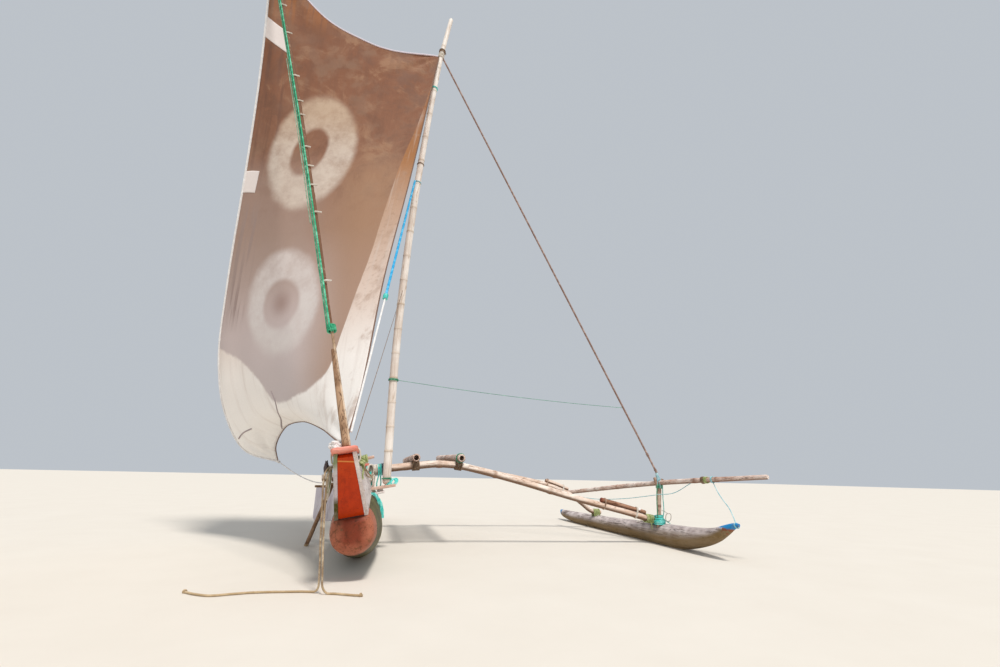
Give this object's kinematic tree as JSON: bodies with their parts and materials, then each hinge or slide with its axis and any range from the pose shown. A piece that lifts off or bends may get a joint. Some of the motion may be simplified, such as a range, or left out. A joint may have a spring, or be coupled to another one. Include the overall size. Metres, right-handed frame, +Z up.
{
  "type": "sailing outrigger canoe",
  "caption": "Dugout sailing canoe with raised plank sides, curved booms to an outrigger float, bamboo mast, raking sprit and a patched square sail.",
  "frame": {"origin": "underside of the dugout log amidships, where it rests on the ground", "axes": "+Z up, +X from the hull to the outrigger float, -Y to the end that the mast stands nearer to"},
  "size_m": [6.6193, 6.4, 8.5087],
  "materials": {
    "log": "matte",
    "plank": "matte",
    "end_board": "matte",
    "end_cap": "matte",
    "inner_wood": "matte",
    "pole": "matte",
    "bamboo": "satin",
    "boom": "matte",
    "splice": "matte",
    "float_wood": "matte",
    "leeboard": "matte",
    "sailcloth": "matte",
    "brown_rope": "matte",
    "pale_rope": "matte",
    "teal_rope": "matte",
    "green_rope": "matte"
  },
  "bodies": {
    "hull": {"dugout_log": "log", "plank_float_side": "plank", "plank_lee_side": "plank", "end_board_near": "end_board", "end_board_far": "end_board", "end_cap_near": "end_cap", "end_cap_far": "end_cap", "thwart_1": "inner_wood", "thwart_2": "inner_wood", "thwart_3": "inner_wood", "thwart_4": "inner_wood", "mast_step": "inner_wood", "mast_step_lower": "inner_wood", "mast_step_chock": "inner_wood", "bow_peg": "pole", "sheet_cleat": "pole", "float": "float_wood", "boom_fore": "boom", "boom_splice_fore": "splice", "float_lashing_fore": "teal_rope", "boom_aft": "boom", "boom_splice_aft": "splice", "float_lashing_aft": "teal_rope", "float_spar": "boom", "crutch_post": "boom", "stay_strop": "teal_rope", "deck_pole_inner": "boom", "deck_pole_outer": "boom", "deck_slats": "boom", "leeboard_bar": "pole", "painter_long": "green_rope", "painter_short": "pale_rope"},
    "rig": {"mast": "bamboo", "sprit": "pole", "sail": "sailcloth", "outrigger_stay": "brown_rope", "mainsheet": "pale_rope"},
    "prop": {"prop_pole": "pole"},
    "leeboard": {"leeboard": "leeboard"}
  },
  "joints": [
    {"name": "mast_rake", "type": "hinge", "parent": "hull", "child": "rig", "pos_m": [0.25513, -1.15, 0.7662], "axis": [-0.9985, -0.0268, -0.0475], "range_deg": [0, 22]},
    {"name": "prop_swing", "type": "hinge", "parent": "hull", "child": "prop", "pos_m": [-0.33361, -0.88599, 0.82535], "axis": [-0.0536, 0.9511, 0.3042], "range_deg": [0, 40]},
    {"name": "leeboard_swing", "type": "hinge", "parent": "hull", "child": "leeboard", "pos_m": [-0.445, -0.45, 0.672], "axis": [1, 0, 0], "range_deg": [-35, 75]}
  ]
}
